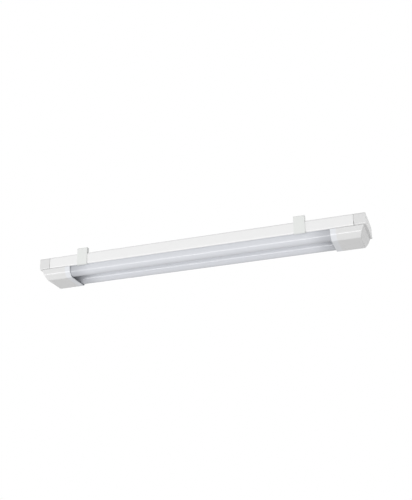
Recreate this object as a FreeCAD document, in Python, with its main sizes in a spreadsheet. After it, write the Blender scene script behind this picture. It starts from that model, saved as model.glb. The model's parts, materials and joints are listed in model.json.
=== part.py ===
import FreeCAD, Part
import math
import os

import Sketcher

# Twin LED batten hung from two spring clips.
# Sub-parts are drawn in the lamp's own frame: X along the lamp from its middle, Y towards the back,
# Z up from the bottom plane of the steel channel. Their placement then moves them into the part's
# frame, whose origin is the ceiling plane at the middle of the left clip.

SIZES = {
    # whole lamp
    "lamp_length": 616.0,
    "lamp_width": 74.0,
    "channel_height": 22.0,
    "steel": 0.8,
    "bend_top": 4.0,
    "bend_low": 2.5,
    "flange": 3.0,
    "seam": 0.8,
    # ceiling clips
    "left_clip_inset": 88.0,
    "right_clip_inset": 114.0,
    "clip_rise": 10.0,
    "clip_width": 20.0,
    "clip_steel": 1.2,
    "clip_fit": 0.2,
    "clip_hook": 2.6,
    "clip_bend": 2.0,
    "clip_foot": 8.0,
    "ceiling_hole_radius": 2.25,
    "ceiling_hole_spacing": 68.0,
    "driver_hole_radius": 3.1,
    # end caps
    "block_length": 20.0,
    "cap_length": 62.0,
    "cap_wall": 1.3,
    "cap_depth": 19.5,
    "cap_inset": 1.0,
    "cap_end_inset": 3.5,
    "cap_slant": 8.5,
    "knee_depth": 11.0,
    "knee_inset": 1.8,
    "foot_half": 25.5,
    "knee_round": 10.0,
    "foot_round": 3.5,
    "cap_corner_round": 1.5,
    "tongue_reach": 12.0,
    "tongue_thick": 1.6,
    "tongue_half": 28.0,
    "tongue_fit": 0.3,
    "saddle_place": 26.0,
    "saddle_thick": 2.0,
    # gear tray
    "tray_steel": 0.8,
    "tray_lift": 3.2,
    "tray_fit": 0.3,
    "tray_end_gap": 2.0,
    # diffusers and their plugs
    "diffuser_radius": 10.8,
    "diffuser_inset": 15.2,
    "diffuser_drop": 6.0,
    "diffuser_wall": 1.4,
    "diffuser_lip": 2.2,
    "plug_flange": 3.0,
    "plug_tongue": 5.0,
    "plug_fit": 0.2,
    "diffuser_fit": 0.3,
    # light strips
    "board_gap": 9.0,
    "board_width": 12.0,
    "board_thick": 1.0,
    "chip_side": 2.8,
    "chip_height": 0.8,
    "chip_count": 36.0,
    "chip_margin": 10.0,
    "connector_length": 7.0,
    "connector_width": 6.0,
    "connector_height": 3.0,
    # driver
    "driver_inset": 248.0,
    "driver_length": 180.0,
    "driver_width": 42.0,
    "driver_height": 13.5,
    "driver_wall": 1.5,
    "driver_lid": 1.5,
    "driver_ear": 9.0,
    "driver_ear_thick": 2.0,
    "sheet_thick": 0.4,
    "sheet_margin": 4.0,
    "pcb_thick": 1.6,
    "pcb_gap": 3.0,
    "pcb_margin": 1.0,
    "standoff_radius": 2.0,
    "core_side": 18.0,
    "core_height": 5.4,
    "can_radius": 2.6,
    "can_length": 14.0,
    # screws
    "screw_radius": 1.5,
    "screw_length": 5.0,
    "head_radius": 2.8,
    "head_height": 1.9,
    "screw_gap": 0.15,
    # terminal
    "terminal_inset": 50.0,
    "terminal_length": 20.0,
    "terminal_width": 26.0,
    "terminal_height": 13.0,
    "pole_pitch": 7.5,
    "wire_radius": 1.6,
    "wire_depth": 8.0,
    "wire_height": 4.0,
    "well_depth": 8.0,
    "contact_side": 4.0,
    "contact_height": 2.6,
    "button_side": 4.4,
    "button_fit": 0.2,
    "button_stand": 2.0,
    # earth point
    "earth_inset": 86.0,
    "earth_side": 22.0,
    "washer_radius": 4.5,
    "washer_thick": 0.8,
    # cable entry
    "entry_inset": 118.0,
    "entry_radius": 6.5,
    "grommet_bore": 4.5,
    "grommet_flange": 9.0,
    "grommet_lip": 1.8,
    "clamp_inset": 82.0,
    "clamp_length": 9.0,
    "clamp_width": 26.0,
    "clamp_height": 7.0,
    "clamp_screw_spacing": 18.0,
    "clamp_wall": 2.0,
    # wires
    "lead_radius": 1.2,
    "lead_bend": 6.0,
    "lead_over_clamp": 14.0,
    "lead_turn": 20.0,
    "lead_side": 12.0,
}

doc = FreeCAD.newDocument("batten")
sheet = doc.addObject("Spreadsheet::Sheet", "Sizes")
for row, (alias, value) in enumerate(SIZES.items(), start=1):
    sheet.set("A%d" % row, alias)
    sheet.set("B%d" % row, repr(value))
    sheet.setAlias("B%d" % row, alias)
doc.recompute()

# lengths that several sub-parts share, as expressions over the sheet
HALF = "(Sizes.lamp_length / 2)"
HALF_WIDTH = "(Sizes.lamp_width / 2)"
CHANNEL_HALF = "(Sizes.lamp_length / 2 - Sizes.block_length - Sizes.seam)"
INNER_HALF = "(Sizes.lamp_width / 2 - Sizes.steel)"
LOW_CUT = "(Sizes.bend_low - Sizes.steel) * (2 - sqrt(2))"
TRAY_UNDER = "Sizes.tray_lift"
TRAY_TOP = "(Sizes.tray_lift + Sizes.tray_steel)"
TRAY_HALF = "(Sizes.lamp_length / 2 - Sizes.block_length - Sizes.seam - Sizes.tray_end_gap)"
DIFFUSER_HALF = "(Sizes.lamp_length / 2 - Sizes.block_length - Sizes.plug_flange)"
BOARD_HALF = "(Sizes.lamp_length / 2 - Sizes.block_length - Sizes.plug_flange - Sizes.board_gap)"
TERMINAL_X = "(Sizes.terminal_inset - Sizes.lamp_length / 2)"
EARTH_X = "(Sizes.earth_inset - Sizes.lamp_length / 2)"
CLAMP_X = "(Sizes.clamp_inset - Sizes.lamp_length / 2)"
ENTRY_X = "(Sizes.entry_inset - Sizes.lamp_length / 2)"
DRIVER_X = "(Sizes.driver_inset - Sizes.lamp_length / 2)"
LOBE_Y = "(Sizes.lamp_width / 2 - Sizes.diffuser_inset)"
LOBE_Z = "(-Sizes.diffuser_drop)"
CAP_TOP = "(-Sizes.seam)"
DRIVER_FLOOR = "(Sizes.tray_lift + Sizes.tray_steel + Sizes.sheet_thick)"
PCB_UNDER = "(%s + Sizes.driver_wall + Sizes.pcb_gap)" % DRIVER_FLOOR
PCB_TOP = "(%s + Sizes.pcb_thick)" % PCB_UNDER
LAMP_X = "(Sizes.lamp_length / 2 - Sizes.left_clip_inset)"
LAMP_Z = "-Sizes.clip_rise - Sizes.channel_height"

pieces = []


def size(alias):
    return SIZES[alias]


def place(piece, label):
    """Label a finished sub-part and carry it from the lamp's frame to the ceiling frame."""
    piece.Label = label
    piece.setExpression("Placement.Base.x", LAMP_X)
    piece.setExpression("Placement.Base.z", LAMP_Z)
    pieces.append(piece)
    return piece


def new_body(name):
    body = doc.addObject("PartDesign::Body", name)
    body.AllowCompound = True
    return body


def new_sketch(body, name, plane, offset):
    """A sketch on the body's own YZ, XZ or XY plane, moved along the plane's normal (+X, -Y, +Z)."""
    sketch = body.newObject("Sketcher::SketchObject", name)
    base = [item for item in body.Origin.OriginFeatures if item.Role == plane + "_Plane"][0]
    sketch.AttachmentSupport = [(base, "")]
    sketch.MapMode = "FlatFace"
    sketch.setExpression("AttachmentOffset.Base.z", offset)
    return sketch


def bind(sketch, constraint, expression):
    index = sketch.addConstraint(constraint)
    sketch.setExpression("Constraints[%d]" % index, expression)


def number(expression):
    """The start value of a coordinate that is given as an expression over the sheet."""
    probe.setExpression("Placement.Base.x", expression)
    probe.recompute()
    return probe.Placement.Base.x


probe = doc.addObject("Part::Feature", "Probe")


def outline(body, name, plane, offset, corners):
    """A closed polygon whose corners are pairs of expressions."""
    sketch = new_sketch(body, name, plane, offset)
    start = [(number(u), number(v)) for u, v in corners]
    count = len(corners)
    for index in range(count):
        here = FreeCAD.Vector(*start[index], 0)
        there = FreeCAD.Vector(*start[(index + 1) % count], 0)
        sketch.addGeometry(Part.LineSegment(here, there), False)
    for index in range(count):
        sketch.addConstraint(Sketcher.Constraint("Coincident", index, 2, (index + 1) % count, 1))
    for index, (u, v) in enumerate(corners):
        bind(sketch, Sketcher.Constraint("DistanceX", index, 1, start[index][0]), u)
        bind(sketch, Sketcher.Constraint("DistanceY", index, 1, start[index][1]), v)
    return sketch


def rectangle(body, name, plane, offset, low, high):
    corners = [(low[0], low[1]), (high[0], low[1]), (high[0], high[1]), (low[0], high[1])]
    return outline(body, name, plane, offset, corners)


def circles(body, name, plane, offset, centres, radius):
    """Equal circles about centres given as pairs of expressions."""
    sketch = new_sketch(body, name, plane, offset)
    for u, v in centres:
        middle = FreeCAD.Vector(number(u), number(v), 0)
        item = sketch.addGeometry(Part.Circle(middle, FreeCAD.Vector(0, 0, 1), number(radius)), False)
        bind(sketch, Sketcher.Constraint("DistanceX", item, 3, middle.x), u)
        bind(sketch, Sketcher.Constraint("DistanceY", item, 3, middle.y), v)
        bind(sketch, Sketcher.Constraint("Radius", item, number(radius)), radius)
    return sketch


def lobe(body, name, offset, middle, top, radius):
    """A U on the YZ plane: straight flanks from the top down to a half-round bottom."""
    sketch = new_sketch(body, name, "YZ", offset)
    y, z, high, round_ = number(middle), number(LOBE_Z), number(top), number(radius)
    corner = FreeCAD.Vector
    sketch.addGeometry(Part.LineSegment(corner(y - round_, high, 0), corner(y + round_, high, 0)), False)
    sketch.addGeometry(Part.LineSegment(corner(y + round_, high, 0), corner(y + round_, z, 0)), False)
    ring = Part.Circle(corner(y, z, 0), corner(0, 0, 1), round_)
    sketch.addGeometry(Part.ArcOfCircle(ring, math.pi, 2 * math.pi), False)
    sketch.addGeometry(Part.LineSegment(corner(y - round_, z, 0), corner(y - round_, high, 0)), False)
    sketch.addConstraint(Sketcher.Constraint("Coincident", 0, 2, 1, 1))
    sketch.addConstraint(Sketcher.Constraint("Coincident", 1, 2, 2, 2))
    sketch.addConstraint(Sketcher.Constraint("Coincident", 2, 1, 3, 1))
    sketch.addConstraint(Sketcher.Constraint("Coincident", 3, 2, 0, 1))
    sketch.addConstraint(Sketcher.Constraint("Horizontal", 0))
    sketch.addConstraint(Sketcher.Constraint("Vertical", 1))
    sketch.addConstraint(Sketcher.Constraint("Vertical", 3))
    bind(sketch, Sketcher.Constraint("DistanceX", 2, 3, y), middle)
    bind(sketch, Sketcher.Constraint("DistanceY", 2, 3, z), LOBE_Z)
    bind(sketch, Sketcher.Constraint("Radius", 2, round_), radius)
    bind(sketch, Sketcher.Constraint("DistanceY", 1, 2, z), LOBE_Z)
    bind(sketch, Sketcher.Constraint("DistanceY", 0, 1, high), top)
    return sketch


def settle(feature):
    """Recompute and stop at the first feature that fails."""
    doc.recompute()
    if "Invalid" in feature.State or "Error" in feature.State or not feature.Shape.isValid():
        raise RuntimeError("%s failed: %s" % (feature.Name, feature.getStatusString()))


def pad(body, sketch, length):
    """Material from the sketch along its plane's normal."""
    feature = body.newObject("PartDesign::Pad", sketch.Name + "_pad")
    feature.Profile = sketch
    feature.setExpression("Length", length)
    settle(feature)
    return feature


def cut(body, sketch, length):
    """A pocket from the sketch along its plane's normal, which has to take something away."""
    before = body.Shape.Volume
    feature = body.newObject("PartDesign::Pocket", sketch.Name + "_cut")
    feature.Profile = sketch
    feature.Reversed = True
    feature.setExpression("Length", length)
    settle(feature)
    if not body.Shape.Volume < before:
        raise RuntimeError(sketch.Name + " cuts nothing")
    return feature


def soften(body, chosen, radius):
    """Round every edge of the body that the test picks."""
    base = body.Tip
    names = ["Edge%d" % (index + 1) for index, edge in enumerate(base.Shape.Edges) if chosen(edge)]
    if not names:
        raise RuntimeError(body.Name + " has no such edge to round")
    feature = body.newObject("PartDesign::Fillet", "%s_round%d" % (body.Name, len(body.Group)))
    feature.Base = (base, names)
    feature.setExpression("Radius", radius)
    settle(feature)
    return feature


def along_x(edge, y, z, slack=0.02):
    """True for a straight edge along X at this |y| and z."""
    if not isinstance(edge.Curve, Part.Line) or abs(edge.Curve.Direction.x) < 0.999:
        return False
    point = edge.Vertexes[0].Point
    return abs(abs(point.y) - y) < slack and abs(point.z - z) < slack


# ---------------------------------------------------------------- steel channel and gear tray

def channel_body():
    """Folded sheet: a web, two sides and two short flanges that turn in under the tray."""
    body = new_body("channel_body")
    outer = rectangle(body, "channel_outer", "YZ", "-" + CHANNEL_HALF,
                      ("-" + HALF_WIDTH, "0"), (HALF_WIDTH, "Sizes.channel_height"))
    pad(body, outer, "2 * " + CHANNEL_HALF)
    half, high = size("lamp_width") / 2, size("channel_height")
    soften(body, lambda edge: along_x(edge, half, high), "Sizes.bend_top")
    soften(body, lambda edge: along_x(edge, half, 0), "Sizes.bend_low")
    top_cut = "(Sizes.bend_top - Sizes.steel) * (2 - sqrt(2))"
    ceiling = "Sizes.channel_height - Sizes.steel"
    right = [("%s - %s" % (INNER_HALF, LOW_CUT), "Sizes.steel"),
             (INNER_HALF, "Sizes.steel + " + LOW_CUT),
             (INNER_HALF, "%s - %s" % (ceiling, top_cut)),
             ("%s - %s" % (INNER_HALF, top_cut), ceiling)]
    left = [("-(%s)" % y, z) for y, z in reversed(right)]
    inner = outline(body, "channel_inner", "YZ", "-" + CHANNEL_HALF, right + left)
    cut(body, inner, "2 * " + CHANNEL_HALF)
    mouth = "(%s - Sizes.flange)" % HALF_WIDTH
    slot = rectangle(body, "channel_mouth", "YZ", "-" + CHANNEL_HALF,
                     ("-" + mouth, "-1"), (mouth, "Sizes.steel + 0.5"))
    cut(body, slot, "2 * " + CHANNEL_HALF)
    entry = circles(body, "channel_entry", "XY", "Sizes.channel_height / 2",
                    [(ENTRY_X, "0")], "Sizes.entry_radius")
    cut(body, entry, "Sizes.channel_height")
    place(body, "channel_body")


def gear_tray():
    """White sheet that carries the driver above and the light strips below, standing on the flanges."""
    body = new_body("gear_tray")
    side = "(%s - %s - Sizes.tray_fit)" % (INNER_HALF, LOW_CUT)
    outer = rectangle(body, "tray_outer", "YZ", "-" + TRAY_HALF,
                      ("-" + side, "Sizes.steel"), (side, TRAY_TOP))
    pad(body, outer, "2 * " + TRAY_HALF)
    inner_side = "(%s - Sizes.tray_steel)" % side
    inner = rectangle(body, "tray_inner", "YZ", "-" + TRAY_HALF,
                      ("-" + inner_side, "0"), (inner_side, TRAY_UNDER))
    cut(body, inner, "2 * " + TRAY_HALF)
    reach = "(Sizes.driver_length / 2 + Sizes.driver_ear / 2)"
    screws = [(DRIVER_X + " - " + reach, "0"), (DRIVER_X + " + " + reach, "0"),
              (EARTH_X, "Sizes.earth_side"),
              (CLAMP_X, "Sizes.clamp_screw_spacing / 2"),
              (CLAMP_X, "-Sizes.clamp_screw_spacing / 2")]
    holes = circles(body, "tray_holes", "XY", "Sizes.tray_lift - 1", screws,
                    "(Sizes.screw_radius + Sizes.screw_gap)")
    cut(body, holes, "Sizes.tray_steel + 2")
    far = "(%s + Sizes.connector_length / 2)" % BOARD_HALF
    wires = circles(body, "tray_wire_holes", "XY", "Sizes.tray_lift - 1",
                    [(far, LOBE_Y), (far, "-" + LOBE_Y)], "(Sizes.lead_radius + Sizes.tray_fit)")
    cut(body, wires, "Sizes.tray_steel + 2")
    place(body, "gear_tray")


# ---------------------------------------------------------------- diffusers and light strips

def diffuser(label, sign):
    """Opal extrusion: U section with two lips that turn in flat against the tray."""
    body = new_body(label)
    middle = sign + LOBE_Y
    start = "-" + DIFFUSER_HALF
    outer = lobe(body, label + "_outer", start, middle, TRAY_UNDER, "Sizes.diffuser_radius")
    pad(body, outer, "2 * " + DIFFUSER_HALF)
    bore = "(Sizes.diffuser_radius - Sizes.diffuser_wall)"
    inner = lobe(body, label + "_inner", start, middle, "(Sizes.tray_lift - Sizes.diffuser_wall)", bore)
    cut(body, inner, "2 * " + DIFFUSER_HALF)
    gap = "(%s - Sizes.diffuser_lip)" % bore
    slot = rectangle(body, label + "_slot", "YZ", start,
                     ("%s - %s" % (middle, gap), "Sizes.tray_lift - Sizes.diffuser_wall - 0.5"),
                     ("%s + %s" % (middle, gap), "Sizes.tray_lift + 1"))
    cut(body, slot, "2 * " + DIFFUSER_HALF)
    place(body, label)


def diffuser_plug(label, sign, end):
    """Moulded plug: a flange over the diffuser's end and a tongue that goes inside it."""
    body = new_body(label)
    middle = sign + LOBE_Y
    reach = DIFFUSER_HALF
    flange_start = reach if end > 0 else "-%s - Sizes.plug_flange" % reach
    tongue_start = reach + " - Sizes.plug_tongue" if end > 0 else "-" + reach
    cover = lobe(body, label + "_flange", flange_start, middle, TRAY_UNDER, "Sizes.diffuser_radius")
    pad(body, cover, "Sizes.plug_flange")
    tight = "(Sizes.diffuser_radius - Sizes.diffuser_wall - Sizes.plug_fit)"
    top = "(Sizes.tray_lift - Sizes.connector_height - Sizes.plug_fit)"
    tongue = lobe(body, label + "_tongue", tongue_start, middle, top, tight)
    pad(body, tongue, "Sizes.plug_tongue")
    place(body, label)


def light_strip(label, sign):
    """Metal-cored board on the tray's underside."""
    body = new_body(label)
    middle = sign + LOBE_Y
    shape = rectangle(body, label + "_outline", "XY", "Sizes.tray_lift - Sizes.board_thick",
                      ("-" + BOARD_HALF, middle + " - Sizes.board_width / 2"),
                      (BOARD_HALF, middle + " + Sizes.board_width / 2"))
    pad(body, shape, "Sizes.board_thick")
    place(body, label)


def light_chips(label, sign):
    """A row of light-emitting packages along the board."""
    body = new_body(label)
    middle = sign + LOBE_Y
    reach = "(%s - Sizes.chip_margin)" % BOARD_HALF
    first = "-" + reach
    shape = rectangle(body, label + "_outline", "XY",
                      "Sizes.tray_lift - Sizes.board_thick - Sizes.chip_height",
                      (first + " - Sizes.chip_side / 2", middle + " - Sizes.chip_side / 2"),
                      (first + " + Sizes.chip_side / 2", middle + " + Sizes.chip_side / 2"))
    chip = pad(body, shape, "Sizes.chip_height")
    row = body.newObject("PartDesign::LinearPattern", label + "_row")
    row.Originals = [chip]
    row.Direction = ([item for item in body.Origin.OriginFeatures if item.Role == "X_Axis"][0], [""])
    row.Mode = "Spacing"
    row.setExpression("Offset", "2 * %s / (Sizes.chip_count - 1)" % reach)
    row.setExpression("Occurrences", "Sizes.chip_count")
    body.Tip = row
    place(body, label)


def strip_connector(label, sign):
    """Plug-in block at the right end of the board, under the tray's wire hole."""
    body = new_body(label)
    middle = sign + LOBE_Y
    shape = rectangle(body, label + "_outline", "XY", "Sizes.tray_lift - Sizes.connector_height",
                      (BOARD_HALF, middle + " - Sizes.connector_width / 2"),
                      (BOARD_HALF + " + Sizes.connector_length", middle + " + Sizes.connector_width / 2"))
    pad(body, shape, "Sizes.connector_height")
    place(body, label)


# ---------------------------------------------------------------- driver

def insulation_sheet():
    body = new_body("insulation_sheet")
    half_length = "(Sizes.driver_length / 2 - Sizes.sheet_margin)"
    half_width = "(Sizes.driver_width / 2 + Sizes.sheet_margin)"
    shape = rectangle(body, "insulation_outline", "XY", TRAY_TOP,
                      (DRIVER_X + " - " + half_length, "-" + half_width),
                      (DRIVER_X + " + " + half_length, half_width))
    pad(body, shape, "Sizes.sheet_thick")
    place(body, "insulation_sheet")


def driver_case():
    """Open box with a mounting ear at each end and four posts under the circuit board."""
    body = new_body("driver_case")
    long_half = "(Sizes.driver_length / 2)"
    wide_half = "(Sizes.driver_width / 2)"
    box = rectangle(body, "case_outer", "XY", DRIVER_FLOOR,
                    (DRIVER_X + " - " + long_half, "-" + wide_half),
                    (DRIVER_X + " + " + long_half, wide_half))
    pad(body, box, "Sizes.driver_height")
    inner_long = "(%s - Sizes.driver_wall)" % long_half
    inner_wide = "(%s - Sizes.driver_wall)" % wide_half
    hollow = rectangle(body, "case_inner", "XY", DRIVER_FLOOR + " + Sizes.driver_wall",
                       (DRIVER_X + " - " + inner_long, "-" + inner_wide),
                       (DRIVER_X + " + " + inner_long, inner_wide))
    cut(body, hollow, "Sizes.driver_height")
    ear_reach = "(%s + Sizes.driver_ear)" % long_half
    for name, low, high in (("left", "-" + ear_reach, "-" + long_half), ("right", long_half, ear_reach)):
        ear = rectangle(body, "case_ear_" + name, "XY", TRAY_TOP,
                        (DRIVER_X + " + " + low, "-Sizes.driver_ear / 2"),
                        (DRIVER_X + " + " + high, "Sizes.driver_ear / 2"))
        pad(body, ear, "Sizes.driver_ear_thick")
    hole_reach = "(%s + Sizes.driver_ear / 2)" % long_half
    holes = circles(body, "case_holes", "XY", TRAY_TOP + " - 1",
                    [(DRIVER_X + " - " + hole_reach, "0"), (DRIVER_X + " + " + hole_reach, "0")],
                    "(Sizes.screw_radius + Sizes.screw_gap)")
    cut(body, holes, "Sizes.driver_ear_thick + 2")
    post_long = "(%s - 3 * Sizes.standoff_radius)" % inner_long
    post_wide = "(%s - 2 * Sizes.standoff_radius)" % inner_wide
    corners = [(DRIVER_X + " + (%s%s)" % (a, post_long), "%s%s" % (b, post_wide))
               for a in ("-", "") for b in ("-", "")]
    posts = circles(body, "case_posts", "XY", DRIVER_FLOOR, corners, "Sizes.standoff_radius")
    pad(body, posts, "Sizes.driver_wall + Sizes.pcb_gap")
    place(body, "driver_case")


def driver_lid():
    """Flat lid with a tongue that drops inside the case."""
    body = new_body("driver_lid")
    long_half = "(Sizes.driver_length / 2)"
    wide_half = "(Sizes.driver_width / 2)"
    level = DRIVER_FLOOR + " + Sizes.driver_height"
    top = rectangle(body, "lid_top", "XY", level,
                    (DRIVER_X + " - " + long_half, "-" + wide_half),
                    (DRIVER_X + " + " + long_half, wide_half))
    pad(body, top, "Sizes.driver_lid")
    tongue_long = "(%s - Sizes.driver_wall - Sizes.plug_fit)" % long_half
    tongue_wide = "(%s - Sizes.driver_wall - Sizes.plug_fit)" % wide_half
    tongue = rectangle(body, "lid_tongue", "XY", level + " - Sizes.driver_lid",
                       (DRIVER_X + " - " + tongue_long, "-" + tongue_wide),
                       (DRIVER_X + " + " + tongue_long, tongue_wide))
    pad(body, tongue, "Sizes.driver_lid")
    place(body, "driver_lid")


def driver_board():
    body = new_body("driver_board")
    long_half = "(Sizes.driver_length / 2 - Sizes.driver_wall - Sizes.pcb_margin)"
    wide_half = "(Sizes.driver_width / 2 - Sizes.driver_wall - Sizes.pcb_margin)"
    shape = rectangle(body, "pcb_outline", "XY", PCB_UNDER,
                      (DRIVER_X + " - " + long_half, "-" + wide_half),
                      (DRIVER_X + " + " + long_half, wide_half))
    pad(body, shape, "Sizes.pcb_thick")
    place(body, "driver_board")


def driver_transformer():
    """Ferrite core block with a winding former that sticks out at both sides."""
    body = new_body("driver_transformer")
    half = "(Sizes.core_side / 2)"
    core = rectangle(body, "core_block", "XY", PCB_TOP,
                     (DRIVER_X + " - " + half, "-" + half), (DRIVER_X + " + " + half, half))
    pad(body, core, "Sizes.core_height * 0.7")
    former = rectangle(body, "core_former", "XY", PCB_TOP,
                       (DRIVER_X + " - %s * 0.6" % half, "-%s * 1.3" % half),
                       (DRIVER_X + " + %s * 0.6" % half, half + " * 1.3"))
    pad(body, former, "Sizes.core_height")
    place(body, "driver_transformer")


def driver_capacitors():
    """Three cans lying on the board."""
    body = new_body("driver_capacitors")
    start = DRIVER_X + " + Sizes.core_side"
    centres = [("(%g * Sizes.can_radius)" % step, PCB_TOP + " + Sizes.can_radius") for step in (-3, 0, 3)]
    cans = circles(body, "can_ends", "YZ", start, centres, "Sizes.can_radius")
    pad(body, cans, "Sizes.can_length")
    place(body, "driver_capacitors")


def screw_group(label, level, places, length):
    """Pan-head screws whose heads bear on this level, shanks pointing down."""
    body = new_body(label)
    shanks = circles(body, label + "_shanks", "XY", "%s - (%s)" % (level, length), places,
                     "Sizes.screw_radius")
    pad(body, shanks, length)
    heads = circles(body, label + "_heads", "XY", level, places, "Sizes.head_radius")
    pad(body, heads, "Sizes.head_height")
    place(body, label)


def driver_screws():
    reach = "(Sizes.driver_length / 2 + Sizes.driver_ear / 2)"
    screw_group("driver_screws", "%s + Sizes.driver_ear_thick" % TRAY_TOP,
                [(DRIVER_X + " - " + reach, "0"), (DRIVER_X + " + " + reach, "0")],
                "Sizes.screw_length")


# ---------------------------------------------------------------- terminal, earth and cable entry

POLES = (("line", "-Sizes.pole_pitch"), ("neutral", "0"), ("earth", "Sizes.pole_pitch"))


def terminal_block():
    """Push-wire block: a wire hole at each end of every pole and a square well for its button."""
    body = new_body("terminal_block")
    half = "(Sizes.terminal_length / 2)"
    wide = "(Sizes.terminal_width / 2)"
    box = rectangle(body, "terminal_box", "XY", TRAY_TOP,
                    (TERMINAL_X + " - " + half, "-" + wide),
                    (TERMINAL_X + " + " + half, wide))
    pad(body, box, "Sizes.terminal_height")
    level = TRAY_TOP + " + Sizes.wire_height"
    wires = circles(body, "terminal_wires", "YZ", TERMINAL_X + " - %s - 1" % half,
                    [(y, level) for _, y in POLES], "Sizes.wire_radius")
    cut(body, wires, "Sizes.wire_depth + 1")
    outlets = circles(body, "terminal_outlets", "YZ",
                      TERMINAL_X + " + %s - Sizes.wire_depth" % half,
                      [(y, level) for _, y in POLES], "Sizes.wire_radius")
    cut(body, outlets, "Sizes.wire_depth + 1")
    well = "(Sizes.button_side / 2 + Sizes.button_fit)"
    for name, y in POLES:
        hole = rectangle(body, "terminal_well_" + name, "XY",
                         "%s + Sizes.terminal_height - Sizes.well_depth" % TRAY_TOP,
                         (TERMINAL_X + " - " + well, "%s - %s" % (y, well)),
                         (TERMINAL_X + " + " + well, "%s + %s" % (y, well)))
        cut(body, hole, "Sizes.well_depth + 1")
    place(body, "terminal_block")


def terminal_contacts():
    """Three brass cage clamps on the floors of the wells."""
    body = new_body("terminal_contacts")
    half = "(Sizes.contact_side / 2)"
    level = "%s + Sizes.terminal_height - Sizes.well_depth" % TRAY_TOP
    for name, y in POLES:
        cage = rectangle(body, "contact_" + name, "XY", level,
                         (TERMINAL_X + " - " + half, "%s - %s" % (y, half)),
                         (TERMINAL_X + " + " + half, "%s + %s" % (y, half)))
        pad(body, cage, "Sizes.contact_height")
    place(body, "terminal_contacts")


def terminal_button(name, y):
    """Square plunger that stands out of its well and can be pushed down onto the clamp."""
    body = new_body("terminal_button_" + name)
    half = "(Sizes.button_side / 2)"
    top = TRAY_TOP + " + Sizes.terminal_height"
    stem = rectangle(body, "button_%s_stem" % name, "XY",
                     "%s - Sizes.well_depth + Sizes.contact_height + Sizes.button_stand" % top,
                     (TERMINAL_X + " - " + half, "%s - %s" % (y, half)),
                     (TERMINAL_X + " + " + half, "%s + %s" % (y, half)))
    pad(body, stem, "Sizes.well_depth - Sizes.contact_height")
    place(body, "terminal_button_" + name)


def earth_washer():
    body = new_body("earth_washer")
    spot = [(EARTH_X, "Sizes.earth_side")]
    disc = circles(body, "washer_disc", "XY", TRAY_TOP, spot, "Sizes.washer_radius")
    pad(body, disc, "Sizes.washer_thick")
    hole = circles(body, "washer_hole", "XY", TRAY_TOP + " - 1", spot,
                   "(Sizes.screw_radius + Sizes.screw_gap)")
    cut(body, hole, "Sizes.washer_thick + 2")
    place(body, "earth_washer")


def cable_grommet():
    """Rubber ring with a groove that holds the edge of the hole in the channel's web."""
    body = new_body("cable_grommet")
    spot = [(ENTRY_X, "0")]
    under = "Sizes.channel_height - Sizes.steel - Sizes.grommet_lip"
    low = circles(body, "grommet_low", "XY", under, spot, "Sizes.grommet_flange")
    pad(body, low, "Sizes.grommet_lip")
    neck = circles(body, "grommet_neck", "XY", under, spot, "Sizes.entry_radius")
    pad(body, neck, "2 * Sizes.grommet_lip + Sizes.steel")
    high = circles(body, "grommet_high", "XY", "Sizes.channel_height", spot, "Sizes.grommet_flange")
    pad(body, high, "Sizes.grommet_lip")
    bore = circles(body, "grommet_bore", "XY", under + " - 1", spot, "Sizes.grommet_bore")
    cut(body, bore, "2 * Sizes.grommet_lip + Sizes.steel + 2")
    place(body, "cable_grommet")


def cable_clamp():
    """Saddle that holds the incoming cable down on the tray."""
    body = new_body("cable_clamp")
    half = "(Sizes.clamp_length / 2)"
    wide = "(Sizes.clamp_width / 2)"
    block = rectangle(body, "clamp_block", "XY", TRAY_TOP,
                      (CLAMP_X + " - " + half, "-" + wide), (CLAMP_X + " + " + half, wide))
    pad(body, block, "Sizes.clamp_height")
    level = "%s + Sizes.clamp_height - Sizes.clamp_wall - Sizes.grommet_bore" % TRAY_TOP
    groove = circles(body, "clamp_groove", "YZ", CLAMP_X + " - %s - 1" % half, [("0", level)],
                     "Sizes.grommet_bore")
    cut(body, groove, "Sizes.clamp_length + 2")
    holes = circles(body, "clamp_holes", "XY", TRAY_TOP + " - 1", clamp_screw_places(),
                    "(Sizes.screw_radius + Sizes.screw_gap)")
    cut(body, holes, "Sizes.clamp_height + 2")
    place(body, "cable_clamp")


def clamp_screw_places():
    return [(CLAMP_X, "Sizes.clamp_screw_spacing / 2"),
            (CLAMP_X, "-Sizes.clamp_screw_spacing / 2")]


# ---------------------------------------------------------------- end caps

def cap_profile(shrink):
    """Lower outline of the cap, drawn in by the wall where it is the inside."""
    top = ("(%s - Sizes.cap_inset - %s)" % (HALF_WIDTH, shrink), CAP_TOP)
    knee = ("(%s - Sizes.cap_inset - Sizes.knee_inset - %s)" % (HALF_WIDTH, shrink),
            "(-Sizes.knee_depth)")
    foot = ("(Sizes.foot_half - %s / 2)" % shrink, "(-Sizes.cap_depth + %s)" % shrink)
    right = [top, knee, foot]
    left = [("-" + y, z) for y, z in reversed(right)]
    return right + left


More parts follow.
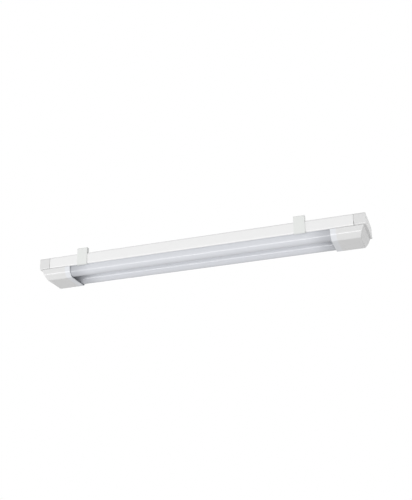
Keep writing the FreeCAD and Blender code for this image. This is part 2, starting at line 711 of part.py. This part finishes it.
def end_cap(label, end):
    """Moulded cap: a block that closes the channel and a deeper hood over the diffusers' ends.

    end is 1 for the right cap and -1 for the left one. Every X is written for the right cap.
    """
    body = new_body(label)

    def run(name, maker, low, high, feature):
        """Extrude a YZ profile between two distances from the lamp's middle, towards this end."""
        start = low if end > 0 else "-(%s)" % high
        feature(body, maker(name, start), "(%s) - (%s)" % (high, low))

    half, high = size("lamp_width") / 2, size("channel_height")
    block_in = "%s - Sizes.block_length" % HALF
    mouth = "%s - Sizes.cap_length" % HALF
    hood_end = "%s - Sizes.cap_end_inset" % HALF

    run(label + "_block",
        lambda name, start: rectangle(body, name, "YZ", start, ("-" + HALF_WIDTH, "0"),
                                      (HALF_WIDTH, "Sizes.channel_height")),
        block_in, HALF, pad)
    soften(body, lambda edge: along_x(edge, half, high), "Sizes.bend_top")
    soften(body, lambda edge: along_x(edge, half, 0), "Sizes.bend_low")
    run(label + "_hood", lambda name, start: outline(body, name, "YZ", start, cap_profile("0")),
        mouth, hood_end, pad)
    neck = "(%s - Sizes.cap_inset - Sizes.cap_corner_round - Sizes.seam)" % HALF_WIDTH
    run(label + "_neck",
        lambda name, start: rectangle(body, name, "YZ", start, ("-" + neck, CAP_TOP), (neck, "1")),
        block_in, hood_end, pad)

    # the hood's end leans inwards going down
    sign = "" if end > 0 else "-"
    heel = "(%s - Sizes.cap_end_inset - Sizes.cap_slant)" % HALF
    toe = "(%s + 5)" % HALF
    slant = outline(body, label + "_slant", "XZ", "-" + HALF_WIDTH,
                    [(sign + "(%s)" % hood_end, CAP_TOP), (sign + heel, "-Sizes.cap_depth - 0.01"),
                     (sign + toe, "-Sizes.cap_depth - 0.01"), (sign + toe, CAP_TOP)])
    cut(body, slant, "Sizes.lamp_width")

    knee_y = half - size("cap_inset") - size("knee_inset")
    soften(body, lambda edge: along_x(edge, knee_y, -size("knee_depth")), "Sizes.knee_round")
    soften(body, lambda edge: along_x(edge, size("foot_half"), -size("cap_depth")), "Sizes.foot_round")
    soften(body, on_leaning_end, "Sizes.cap_corner_round")

    run(label + "_block_hollow",
        lambda name, start: rectangle(body, name, "YZ", start,
                                      ("-(%s - Sizes.cap_wall)" % HALF_WIDTH, "Sizes.bend_low"),
                                      ("(%s - Sizes.cap_wall)" % HALF_WIDTH,
                                       "Sizes.channel_height - Sizes.cap_wall")),
        block_in, "%s - Sizes.cap_wall" % HALF, cut)
    hood_wall = "%s - Sizes.cap_wall" % heel
    run(label + "_hood_hollow",
        lambda name, start: outline(body, name, "YZ", start, cap_profile("Sizes.cap_wall")),
        mouth, hood_wall, cut)
    throat = "(%s - Sizes.cap_wall)" % neck
    run(label + "_throat",
        lambda name, start: rectangle(body, name, "YZ", start, ("-" + throat, "-1"),
                                      (throat, "Sizes.bend_low + 1")),
        block_in, hood_wall, cut)

    # tongues that slide inside the channel
    roof = "(Sizes.channel_height - Sizes.steel - Sizes.tongue_fit)"
    flank = "(%s - Sizes.tongue_fit)" % INNER_HALF
    tongue_in = "%s - Sizes.block_length - Sizes.tongue_reach" % HALF
    tongue_out = "%s - Sizes.block_length + Sizes.cap_wall" % HALF
    run(label + "_top_tongue",
        lambda name, start: rectangle(body, name, "YZ", start,
                                      ("-Sizes.tongue_half", roof + " - Sizes.tongue_thick"),
                                      ("Sizes.tongue_half", roof)),
        tongue_in, tongue_out, pad)
    for side, low, top in (("front", "-" + flank, "-%s + Sizes.tongue_thick" % flank),
                           ("rear", flank + " - Sizes.tongue_thick", flank)):
        run("%s_%s_tongue" % (label, side),
            lambda name, start: rectangle(body, name, "YZ", start,
                                          (low, "Sizes.channel_height / 3"),
                                          (top, "Sizes.channel_height - Sizes.bend_top")),
            tongue_in, tongue_out, pad)

    # a rib across the hood with a saddle for each diffuser
    rib_out = "%s - Sizes.saddle_place" % HALF
    rib_in = rib_out + " - Sizes.saddle_thick"
    run(label + "_rib",
        lambda name, start: outline(body, name, "YZ", start, cap_profile("Sizes.cap_wall / 2")),
        rib_in, rib_out, pad)
    for side, y in (("front", "-" + LOBE_Y), ("rear", LOBE_Y)):
        run("%s_%s_saddle" % (label, side),
            lambda name, start: lobe(body, name, start, y, "1",
                                     "(Sizes.diffuser_radius + Sizes.diffuser_fit)"),
            rib_in, rib_out, cut)
    place(body, label)


def on_leaning_end(edge):
    """True for the edges round the hood's leaning end face, apart from its top edge."""
    lean = size("cap_slant") / (size("cap_depth") - size("seam"))
    face_top = size("lamp_length") / 2 - size("cap_end_inset")
    middle = edge.valueAt((edge.FirstParameter + edge.LastParameter) / 2)
    points = [vertex.Point for vertex in edge.Vertexes] + [middle]
    slack = 0.05
    on_face = all(abs(abs(p.x) - face_top - (p.z + size("seam")) * lean) < slack for p in points)
    at_top = all(abs(p.z + size("seam")) < slack for p in points)
    return on_face and not at_top


# ---------------------------------------------------------------- ceiling clips

def mounting_clip(label, offset):
    """Spring-steel clip: legs with hooks under the channel, a web along the channel's top and, above
    it, two feet that stand against the ceiling and take the screws."""
    body = new_body(label)
    start = "%s - Sizes.clip_width / 2" % offset
    leg_in = "(%s + Sizes.clip_fit)" % HALF_WIDTH
    leg_out = "(%s + Sizes.clip_steel)" % leg_in
    top = "(Sizes.channel_height + Sizes.clip_rise)"
    foot_in = "(%s - Sizes.clip_foot)" % leg_out
    foot_low = "(%s - Sizes.clip_steel)" % top
    web_low = "(Sizes.channel_height + Sizes.clip_fit)"
    web_top = "(%s + Sizes.clip_steel)" % web_low
    hook_top = "(-Sizes.clip_fit)"
    hook_low = "(-Sizes.clip_fit - Sizes.clip_steel)"
    tip = "(%s - Sizes.clip_hook)" % HALF_WIDTH
    right = [(foot_in, top), (leg_out, top), (leg_out, hook_low), (tip, hook_low), (tip, hook_top),
             (leg_in, hook_top), (leg_in, web_low)]
    above = [(leg_in, web_top), (leg_in, foot_low), (foot_in, foot_low)]
    left = [("-" + y, z) for y, z in reversed(right)]
    left_above = [("-" + y, z) for y, z in reversed(above)]
    section = outline(body, label + "_section", "YZ", start, right + left + left_above + above)
    pad(body, section, "Sizes.clip_width")
    outer = size("lamp_width") / 2 + size("clip_fit") + size("clip_steel")
    ceiling = size("channel_height") + size("clip_rise")
    soften(body, lambda edge: along_x(edge, outer, ceiling), "Sizes.clip_bend")

    # cheeks fold back from the legs and prop the feet at both edges of the clip
    cheeks = (("first", start), ("last", "%s + Sizes.clip_width / 2 - Sizes.clip_steel" % offset))
    for name, place_x in cheeks:
        for side, low, high in (("front", "-" + leg_in, "-" + foot_in), ("rear", foot_in, leg_in)):
            cheek = rectangle(body, "%s_%s_%s_cheek" % (label, name, side), "YZ", place_x,
                              (low, web_top), (high, foot_low))
            pad(body, cheek, "Sizes.clip_steel")

    # screw holes in the feet, and wider holes under them in the web for the screwdriver
    spots = [(offset, "Sizes.ceiling_hole_spacing / 2"), (offset, "-Sizes.ceiling_hole_spacing / 2")]
    screws = circles(body, label + "_screw_holes", "XY", foot_low + " - 1", spots,
                     "Sizes.ceiling_hole_radius")
    cut(body, screws, "Sizes.clip_steel + 2")
    access = circles(body, label + "_driver_holes", "XY", web_low + " - 1", spots,
                     "Sizes.driver_hole_radius")
    cut(body, access, "Sizes.clip_steel + 2")
    place(body, label)


# ---------------------------------------------------------------- wires held inside the lamp

def wire_path(points, bend):
    """Straight runs through the points joined by tangent arcs of one radius."""
    edges = []
    start = points[0]
    for before, corner, after in zip(points, points[1:], points[2:]):
        back = (before - corner).normalize()
        ahead = (after - corner).normalize()
        half_turn = (math.pi - back.getAngle(ahead)) / 2
        trim = bend * math.tan(half_turn)
        first = corner + back * trim
        last = corner + ahead * trim
        bisector = (back + ahead).normalize()
        middle = corner + bisector * (bend / math.cos(half_turn) - bend)
        edges.append(Part.LineSegment(start, first).toShape())
        edges.append(Part.Arc(first, middle, last).toShape())
        start = last
    edges.append(Part.LineSegment(start, points[-1]).toShape())
    return Part.Wire(edges)


def lead(label, points):
    """One insulated wire held between the pieces it joins."""
    path = wire_path(points, size("lead_bend"))
    tangent = points[1] - points[0]
    ring = Part.Circle(points[0], tangent, size("lead_radius")).toShape()
    piece = doc.addObject("Part::Feature", label)
    piece.Shape = path.makePipeShell([Part.Wire([ring])], True, False)
    place(piece, label)


def leads():
    """Wires from the terminal to the driver and the earth screw, and from the driver to the strips."""
    at = FreeCAD.Vector
    tray_top = size("tray_lift") + size("tray_steel")
    level = tray_top + size("wire_height")
    left_end = -size("lamp_length") / 2
    start = left_end + size("terminal_inset") + size("terminal_length") / 2 - size("wire_depth")
    driver_left = left_end + size("driver_inset") - size("driver_length") / 2
    driver_right = driver_left + size("driver_length")
    drop = tray_top + size("sheet_thick") + size("driver_height") / 2
    turn = size("lead_turn")
    inset = size("lead_side")
    pole = size("pole_pitch")
    clamp_near = left_end + size("clamp_inset") - size("clamp_length") / 2
    clamp_far = clamp_near + size("clamp_length")

    # the line wire goes round the clamp's front side
    side = size("clamp_width") / 2 + 3 * size("lead_radius")
    lead("lead_line", [at(start, -pole, level), at(clamp_near - turn / 2, -pole, level),
                       at(clamp_near, -side, level), at(clamp_far + turn, -side, drop),
                       at(driver_left - inset, -inset, drop), at(driver_left, -inset, drop)])

    # the neutral wire goes over the clamp, between its screws
    over = size("lead_over_clamp")
    lead("lead_neutral", [at(start, 0, level), at(clamp_near - turn / 2, 0, level),
                          at(clamp_near - turn / 8, 0, over), at(clamp_far + turn, 0, over),
                          at(driver_left - inset, inset, drop), at(driver_left, inset, drop)])

    # the earth wire ends on the washer against the screw's head
    on_washer = tray_top + size("washer_thick") + size("lead_radius")
    earth_end = left_end + size("earth_inset") - size("head_radius")
    lead("lead_earth", [at(start, pole, level), at(start + inset, pole, level),
                        at(earth_end - turn / 2, size("earth_side"), on_washer),
                        at(earth_end, size("earth_side"), on_washer)])

    # each strip's wire drops through the tray onto its connector
    board_half = -left_end - size("block_length") - size("plug_flange") - size("board_gap")
    strip_x = board_half + size("connector_length") / 2
    for name, sign in (("front", -1), ("rear", 1)):
        y = sign * (size("lamp_width") / 2 - size("diffuser_inset"))
        lead("strip_lead_" + name, [at(driver_right, sign * inset, drop),
                                    at(driver_right + turn, sign * inset, drop),
                                    at(driver_right + 3 * turn, y, drop), at(strip_x, y, drop),
                                    at(strip_x, y, size("tray_lift"))])


# ---------------------------------------------------------------- build

channel_body()
gear_tray()
for side_name, side_sign in (("front", "-"), ("rear", "")):
    diffuser(side_name + "_diffuser", side_sign)
    for end_name, end_sign in (("left", -1), ("right", 1)):
        diffuser_plug("%s_plug_%s" % (side_name, end_name), side_sign, end_sign)
    light_strip("led_board_" + side_name, side_sign)
    light_chips("led_chips_" + side_name, side_sign)
    strip_connector("led_connector_" + side_name, side_sign)
insulation_sheet()
driver_case()
driver_lid()
driver_board()
driver_transformer()
driver_capacitors()
driver_screws()
terminal_block()
terminal_contacts()
for pole_name, pole_side in POLES:
    terminal_button(pole_name, pole_side)
earth_washer()
screw_group("earth_screw", "%s + Sizes.washer_thick" % TRAY_TOP,
            [(EARTH_X, "Sizes.earth_side")], "Sizes.washer_thick + Sizes.tray_steel")
cable_grommet()
cable_clamp()
screw_group("cable_clamp_screws", "%s + Sizes.clamp_height" % TRAY_TOP, clamp_screw_places(),
            "Sizes.clamp_height + Sizes.tray_steel")
leads()
end_cap("end_cap_left", -1)
end_cap("end_cap_right", 1)
mounting_clip("mounting_clip_left", "(Sizes.left_clip_inset - Sizes.lamp_length / 2)")
mounting_clip("mounting_clip_right", "(Sizes.lamp_length / 2 - Sizes.right_clip_inset)")

doc.removeObject(probe.Name)
doc.recompute()
for item in doc.Objects:
    if "Invalid" in item.State or "Error" in item.State:
        raise RuntimeError(item.Label + " failed: " + str(item.State))
for piece in pieces:
    if piece.Shape.isNull() or not piece.Shape.isValid():
        raise RuntimeError(piece.Label + " has no valid shape")

os.makedirs("parts", exist_ok=True)
for piece in pieces:
    piece.Shape.exportStep("parts/%s.step" % piece.Label)
    print("%-24s solids %2d  volume %10.1f" % (piece.Label, len(piece.Shape.Solids), piece.Shape.Volume))
print(len(pieces), "sub-parts")
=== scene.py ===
import json
import math

import bpy
import numpy as np
from mathutils import Matrix, Vector


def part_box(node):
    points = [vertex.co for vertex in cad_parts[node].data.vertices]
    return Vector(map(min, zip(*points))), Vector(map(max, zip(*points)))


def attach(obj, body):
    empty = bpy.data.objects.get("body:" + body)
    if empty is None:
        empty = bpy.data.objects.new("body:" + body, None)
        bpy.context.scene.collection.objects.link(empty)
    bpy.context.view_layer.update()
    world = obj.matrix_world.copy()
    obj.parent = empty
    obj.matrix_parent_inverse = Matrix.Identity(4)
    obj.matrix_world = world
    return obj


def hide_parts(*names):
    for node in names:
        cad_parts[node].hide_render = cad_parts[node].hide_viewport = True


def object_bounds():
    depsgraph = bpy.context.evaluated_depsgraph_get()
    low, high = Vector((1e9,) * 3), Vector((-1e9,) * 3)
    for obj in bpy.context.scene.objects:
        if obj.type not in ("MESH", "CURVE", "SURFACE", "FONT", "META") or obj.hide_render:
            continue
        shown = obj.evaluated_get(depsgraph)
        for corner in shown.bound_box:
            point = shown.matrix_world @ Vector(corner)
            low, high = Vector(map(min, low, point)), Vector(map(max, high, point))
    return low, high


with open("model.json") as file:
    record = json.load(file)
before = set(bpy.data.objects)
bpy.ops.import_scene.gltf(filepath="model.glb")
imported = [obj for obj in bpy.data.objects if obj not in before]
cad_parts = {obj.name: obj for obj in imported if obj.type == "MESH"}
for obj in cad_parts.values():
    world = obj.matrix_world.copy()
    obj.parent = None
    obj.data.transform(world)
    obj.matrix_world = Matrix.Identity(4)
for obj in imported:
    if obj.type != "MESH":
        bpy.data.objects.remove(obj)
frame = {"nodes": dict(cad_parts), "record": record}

mm = 0.001


def plainBox(bounds):
    return [[float(value) for value in corner] for corner in bounds]


cadBox = plainBox(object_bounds())
nodes = frame["nodes"]
print("frame loaded,", len(nodes), "pieces")


# materials

def linearColour(hexText):
    # an sRGB hex colour as linear red, green, blue and full alpha
    parts = [int(hexText[start:start + 2], 16) / 255 for start in (1, 3, 5)]
    linear = [part / 12.92 if part <= 0.04045 else ((part + 0.055) / 1.055) ** 2.4 for part in parts]
    return (*linear, 1.0)


def addNode(tree, kind, settings, links):
    # one node with its properties or socket values, and its inputs joined to other nodes' outputs
    node = tree.nodes.new(kind)
    for name, value in settings.items():
        if name in node.inputs:
            node.inputs[name].default_value = value
        else:
            setattr(node, name, value)
    for name, source in links.items():
        tree.links.new(source, node.inputs[name])
    return node


def calculate(tree, operation, *values):
    # the output of a math node whose inputs are plain numbers or other nodes' outputs
    node = addNode(tree, "ShaderNodeMath", {"operation": operation}, {})
    for socket, value in zip(node.inputs, values):
        if isinstance(value, float):
            socket.default_value = value
        else:
            tree.links.new(value, socket)
    return node.outputs[0]


def layColour(tree, share, under, over):
    # one colour over another by a share; under is a hex colour or the output of an earlier layer
    blend = addNode(tree, "ShaderNodeMix", {"data_type": "RGBA"}, {"Factor": share})
    first, second = [socket for socket in blend.inputs if socket.type == "RGBA"]
    if isinstance(under, str):
        first.default_value = linearColour(under)
    else:
        tree.links.new(under, first)
    second.default_value = linearColour(over)
    return [socket for socket in blend.outputs if socket.type == "RGBA"][0]


finishSizes = {
    "drift": 35 * mm,        # how far apart the slow changes of colour lie
    "driftDetail": 1.0,      # octaves of noise
    "reliefDetail": 2.0,
    "paintedLightBand": 8 * mm,          # the painted light on a cap: a paler, bluish rim, from its mouth
    "paintedLightBandEdge": 4 * mm,
    "paintedShadeStretch": 45 * mm,         # the stretch of a diffuser darkened with painted shade towards the cap
}

# distances along X from the lamp's middle, for the painted light and painted shade near the caps'
# mouths
lampMiddle = (cadBox[0][0] + cadBox[1][0]) / 2
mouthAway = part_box("end_cap_right")[0].x - lampMiddle
paintedLightBandEnd = mouthAway + finishSizes["paintedLightBand"]


def endShare(tree, place, none, full):
    # goes smoothly from 0 to 1 between two distances along X from the lamp's middle
    axes = addNode(tree, "ShaderNodeSeparateXYZ", {}, {"Vector": place.outputs["Object"]})
    away = calculate(tree, "ABSOLUTE", calculate(tree, "SUBTRACT", axes.outputs["X"], lampMiddle))
    share = addNode(tree, "ShaderNodeMapRange",
                    {"interpolation_type": "SMOOTHSTEP", "From Min": none, "From Max": full},
                    {"Value": away})
    return share.outputs[0]


def surfaceFinish(name, colour, grain, depth, stretch=(1, 1, 1), tint=None, ends=None, **shader):
    # a principled surface with a fine relief of the given grain and depth in millimetres, and a
    # second colour that drifts across it; ends holds a third colour of painted light and shade near
    # the caps' mouths, and the two distances along X from the lamp's middle between which it takes over
    material = bpy.data.materials.new(name)
    material.use_nodes = True
    tree = material.node_tree
    tree.nodes.clear()
    place = addNode(tree, "ShaderNodeTexCoord", {}, {})
    scaled = addNode(tree, "ShaderNodeMapping", {"Scale": stretch},
                     {"Vector": place.outputs["Object"]})
    relief = addNode(tree, "ShaderNodeTexNoise",
                     {"Scale": 1 / (grain * mm), "Detail": finishSizes["reliefDetail"]},
                     {"Vector": scaled.outputs["Vector"]})
    bump = addNode(tree, "ShaderNodeBump", {"Strength": 1.0, "Distance": depth * mm},
                   {"Height": relief.outputs["Fac"]})
    drift = addNode(tree, "ShaderNodeTexNoise",
                    {"Scale": 1 / finishSizes["drift"], "Detail": finishSizes["driftDetail"]},
                    {"Vector": place.outputs["Object"]})
    shown = layColour(tree, drift.outputs["Fac"], colour, tint or colour)
    if ends:
        endColour, none, full = ends
        shown = layColour(tree, endShare(tree, place, none, full), shown, endColour)
    skin = addNode(tree, "ShaderNodeBsdfPrincipled", shader,
                   {"Base Color": shown, "Normal": bump.outputs["Normal"]})
    addNode(tree, "ShaderNodeOutputMaterial", {}, {"Surface": skin.outputs["BSDF"]})
    return material


finishes = {
    # polyester powder coat on steel: bright neutral white with a soft sheen and faint orange peel
    "white_enamel": surfaceFinish("powder coated steel", "#EFEFEF", 1.6, 0.005, tint="#EDEDED",
                                  Roughness=0.27, IOR=1.5),
    # injection moulded ABS: clean white, a little glossier, with a fine spark texture and a painted
    # pale rim of light
    "white_plastic": surfaceFinish("moulded white ABS", "#E0E0E0", 0.9, 0.003, tint="#DEDEDE",
                                   # painted light: a paler, bluish band next to each cap's mouth
                                   ends=("#E2E4E8", paintedLightBandEnd + finishSizes["paintedLightBandEdge"], paintedLightBandEnd),
                                   Roughness=0.2, IOR=1.53),
    # extruded opal acrylic: milky, slightly blue, with painted shade towards the caps, and draw lines
    # that run along the lamp
    "opal_diffuser": surfaceFinish("extruded opal acrylic", "#D6D8DD", 1.2, 0.003, (0.02, 1, 1),
                                   "#D4D6DB",
                                   # painted shade: the diffuser turns greyer towards each cap's mouth
                                   ends=("#B8BABF", mouthAway - finishSizes["paintedShadeStretch"], mouthAway),
                                   Roughness=0.19, IOR=1.49),
    # coated spring steel: the clips are a touch greyer and flatter than the channel
    "spring_steel": surfaceFinish("coated spring steel", "#E6E8E6", 1.4, 0.004, tint="#E4E6E4",
                                  Roughness=0.42, IOR=1.5),
    # moulded polycarbonate plugs and saddles: plain matt white
    "plug_plastic": surfaceFinish("moulded polycarbonate", "#D6D7D6", 0.8, 0.004,
                                  Roughness=0.5, IOR=1.58),
    # aluminium-cored board under white solder mask: flat bright white
    "board": surfaceFinish("white solder mask", "#E9EAE9", 0.5, 0.002, Roughness=0.45, IOR=1.5),
    # silicone filled with phosphor: pale yellow and dull
    "chip": surfaceFinish("phosphor silicone", "#E5D77C", 0.3, 0.002, Roughness=0.6, IOR=1.41),
    # moulded nylon connector: creamy white
    "connector": surfaceFinish("moulded nylon", "#E6E3D8", 0.6, 0.003, Roughness=0.5, IOR=1.53),
    # moulded flame-proofed case of the driver: matt off-white
    "case": surfaceFinish("moulded driver case", "#DADAD6", 0.8, 0.006, Roughness=0.55, IOR=1.55),
    # glass-fibre circuit board: dark green lacquer
    "circuit": surfaceFinish("lacquered glass fibre", "#1E5A38", 0.6, 0.003, Roughness=0.35, IOR=1.55),
    # pressed and sintered ferrite: charcoal, slightly speckled
    "ferrite": surfaceFinish("sintered ferrite", "#2B2B2E", 0.3, 0.006, tint="#343438",
                             Roughness=0.6, IOR=1.6),
    # drawn aluminium can in a shrink sleeve: dull silver
    "can": surfaceFinish("drawn aluminium can", "#B9BBC0", 0.5, 0.003, Metallic=1.0, Roughness=0.35),
    # calendered insulating paper: buff, fibrous
    "insulation": surfaceFinish("calendered fish paper", "#D9CFA9", 0.7, 0.008, tint="#D2C69D",
                                Roughness=0.75, IOR=1.5),
    # zinc electroplate over rolled steel: bluish silver
    "zinc_steel": surfaceFinish("zinc plated steel", "#C3C6CB", 0.4, 0.003,
                                Metallic=1.0, Roughness=0.3),
    # stamped brass: warm yellow metal
    "brass": surfaceFinish("stamped brass", "#C9A75A", 0.4, 0.003, Metallic=1.0, Roughness=0.28),
    # moulded polyamide terminal: matt ivory
    "terminal_plastic": surfaceFinish("moulded polyamide", "#E2E0D6", 0.7, 0.004,
                                      Roughness=0.5, IOR=1.53),
    # coloured polyamide buttons: orange for the live poles and green for the earth
    "button_orange": surfaceFinish("orange polyamide", "#D9691E", 0.6, 0.004, Roughness=0.45, IOR=1.53),
    "button_green": surfaceFinish("green polyamide", "#3E8C3C", 0.6, 0.004, Roughness=0.45, IOR=1.53),
    # moulded rubber grommet: mid grey with a dull bloom
    "rubber_grey": surfaceFinish("moulded rubber", "#5A5B5D", 0.6, 0.01, tint="#626365",
                                 Roughness=0.7, IOR=1.52),
    # extruded vinyl insulation of the wires: smooth and slightly shiny
    "lead_brown": surfaceFinish("brown vinyl", "#5B3420", 0.8, 0.003, Roughness=0.4, IOR=1.54),
    "lead_blue": surfaceFinish("blue vinyl", "#2A55A0", 0.8, 0.003, Roughness=0.4, IOR=1.54),
    "lead_green": surfaceFinish("green vinyl", "#5C9A33", 0.8, 0.003, Roughness=0.4, IOR=1.54),
    "lead_white": surfaceFinish("white vinyl", "#E4E4E2", 0.8, 0.003, Roughness=0.4, IOR=1.54),
}
slotOf = {part["node"]: part["material_slot"] for part in frame["record"]["subparts"]}
for name, node in nodes.items():
    node.data.materials.clear()
    node.data.materials.append(finishes[slotOf[name]])
print("materials set")


# smooth pieces

sharpAngle = 30              # degrees between two faces that meet in a visible edge


def meshPiece(name, slot, body, points, faces, stands):
    # a mesh from arrays of points and faces, smooth but for its sharper edges
    mesh = bpy.data.meshes.new(name)
    mesh.from_pydata(points.tolist(), [], faces)
    mesh.update()
    mesh.shade_smooth()
    mesh.set_sharp_from_angle(angle=math.radians(sharpAngle))
    mesh.materials.append(finishes[slot])
    piece = bpy.data.objects.new(name, mesh)
    bpy.context.scene.collection.objects.link(piece)
    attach(piece, body)
    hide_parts(stands)


def extruded(section, lowX, highX):
    # a closed section (y, z) carried straight along X: point (x, y, z) = (x of the station, section)
    count = len(section)
    stations = np.repeat([lowX, highX], count)
    points = np.column_stack([stations, np.tile(section, (2, 1))])
    here = np.arange(count)
    after = np.roll(here, -1)
    sides = np.column_stack([here, after, after + count, here + count])
    faces = sides.tolist() + [here[::-1].tolist(), (here + count).tolist()]
    return points, faces


diffuserSizes = {
    "wall": 1.4 * mm,
    "lip": 2.2 * mm,
    "arcSteps": 64,
}


def diffuserSection(low, high):
    # half circle below straight flanks, outside and inside, with two lips that turn in at the top:
    # y = middle + radius cos a, z = centre + radius sin a, for a from half a turn to a full turn
    middle = (low.y + high.y) / 2
    radius = (high.y - low.y) / 2
    centre = low.z + radius
    bore = radius - diffuserSizes["wall"]
    gap = bore - diffuserSizes["lip"]
    under = high.z - diffuserSizes["wall"]
    turn = np.linspace(math.pi, 2 * math.pi, diffuserSizes["arcSteps"])
    ring = np.column_stack([np.cos(turn), np.sin(turn)])
    outside = ring * radius + (middle, centre)
    inside = ring[::-1] * bore + (middle, centre)
    left = np.array([(middle - gap, high.z), (middle - radius, high.z)])
    right = np.array([(middle + radius, high.z), (middle + gap, high.z), (middle + gap, under),
                      (middle + bore, under)])
    back = np.array([(middle - bore, under), (middle - gap, under)])
    return np.vstack([left, outside, right, inside, back])


for side in ("front", "rear"):
    low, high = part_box(side + "_diffuser")
    points, faces = extruded(diffuserSection(low, high), low.x, high.x)
    meshPiece(side + "DiffuserSkin", "opal_diffuser", "fixture", points, faces, side + "_diffuser")
print("diffusers made")


# floor, sky, lamps and camera

stageSizes = {
    "floorDrop": 2.4,        # metres below the ceiling plane
    "floorHalf": 60.0,
    "floorGrain": 30.0,      # millimetres, as in the finishes
    "floorRelief": 0.2,
    "skyLeft": 0.68,
    "skyRight": 0.50,
}

# long soft lamps that lie along the object: where each stands as seen from the object's middle, how
# far off, its length and width in metres and its power in watts
lampSizes = {
    "key": {"side": (-0.1, -0.88, -0.47), "distance": 2.2, "long": 3.1, "wide": 0.6, "power": 30.5},
    "fill": {"side": (-0.6, 0.75, 0.28), "distance": 2.6, "long": 1.4, "wide": 1.2, "power": 9.0},
}


def buildStage():
    # a wide pale floor, and a pale sky that darkens to the right; the camera and reflections see it
    # plain white
    half, drop = stageSizes["floorHalf"], -stageSizes["floorDrop"]
    corners = [(-half, -half, drop), (half, -half, drop), (half, half, drop), (-half, half, drop)]
    mesh = bpy.data.meshes.new("floor")
    mesh.from_pydata(corners, [], [(0, 1, 2, 3)])
    mesh.materials.append(surfaceFinish("pale studio floor", "#F0F0F0", stageSizes["floorGrain"],
                                        stageSizes["floorRelief"], Roughness=0.8, IOR=1.5))
    floor = bpy.data.objects.new("floor", mesh)
    bpy.context.scene.collection.objects.link(floor)

    world = bpy.data.worlds.new("studio")
    bpy.context.scene.world = world
    world.use_nodes = True
    tree = world.node_tree
    tree.nodes.clear()
    path = addNode(tree, "ShaderNodeLightPath", {}, {})
    seen = calculate(tree, "MAXIMUM", path.outputs["Is Camera Ray"], path.outputs["Is Glossy Ray"])
    clear = calculate(tree, "MAXIMUM", seen, path.outputs["Is Transmission Ray"])
    place = addNode(tree, "ShaderNodeTexCoord", {}, {})
    axes = addNode(tree, "ShaderNodeSeparateXYZ", {}, {"Vector": place.outputs["Generated"]})
    light = addNode(tree, "ShaderNodeMapRange",
                    {"From Min": -1.0, "To Min": stageSizes["skyLeft"],
                     "To Max": stageSizes["skyRight"]},
                    {"Value": axes.outputs["X"]})
    level = addNode(tree, "ShaderNodeMapRange", {"To Max": 1.0},
                    {"Value": clear, "To Min": light.outputs[0]})
    sky = addNode(tree, "ShaderNodeBackground", {"Color": (1, 1, 1, 1)},
                  {"Strength": level.outputs[0]})
    addNode(tree, "ShaderNodeOutputWorld", {}, {"Surface": sky.outputs["Background"]})


def buildLamp(name, sizes):
    # a rectangle that faces the object's middle with its long side along X
    middle = (Vector(cadBox[0]) + Vector(cadBox[1])) / 2
    light = bpy.data.lights.new(name, "AREA")
    light.shape = "RECTANGLE"
    light.size = sizes["long"]
    light.size_y = sizes["wide"]
    light.energy = sizes["power"]
    lamp = bpy.data.objects.new(name, light)
    lamp.visible_camera = False
    bpy.context.scene.collection.objects.link(lamp)
    away = Vector(sizes["side"]).normalized()
    across = (Vector((1, 0, 0)) - away * away.x).normalized()
    axes = Matrix((across, away.cross(across), away)).transposed().to_4x4()
    lamp.matrix_world = Matrix.Translation(middle + away * sizes["distance"]) @ axes


buildStage()
for name, sizes in lampSizes.items():
    buildLamp(name, sizes)

cameraSizes = {
    "place": (0.67987, -1.36430, -0.60824),
    "yaw": 18.190,           # degrees to the left of straight at the lamp
    "pitch": 22.149,         # degrees upwards
    "roll": -0.976,
    "focalPixels": 848.96,
    "frameHeight": 500,
    "sensor": 36.0,
    "farthest": 200,         # metres
}


def buildCamera():
    # the view axis from yaw and pitch, and the right and up axes turned about it by the roll
    yaw, pitch, roll = (math.radians(cameraSizes[name]) for name in ("yaw", "pitch", "roll"))
    ahead = Vector((-math.sin(yaw) * math.cos(pitch), math.cos(yaw) * math.cos(pitch),
                    math.sin(pitch)))
    level = Vector((math.cos(yaw), math.sin(yaw), 0))
    above = level.cross(ahead)
    right = level * math.cos(roll) + above * math.sin(roll)
    up = above * math.cos(roll) - level * math.sin(roll)
    data = bpy.data.cameras.new("camera")
    data.sensor_fit = "VERTICAL"
    data.sensor_height = cameraSizes["sensor"]
    data.lens = cameraSizes["focalPixels"] / cameraSizes["frameHeight"] * cameraSizes["sensor"]
    data.clip_end = cameraSizes["farthest"]
    camera = bpy.data.objects.new("camera", data)
    bpy.context.scene.collection.objects.link(camera)
    axes = Matrix((right, up, -ahead)).transposed().to_4x4()
    camera.matrix_world = Matrix.Translation(Vector(cameraSizes["place"])) @ axes
    bpy.context.scene.camera = camera


buildCamera()
bpy.context.scene.view_settings.view_transform = "Standard"
print("stage and camera set")
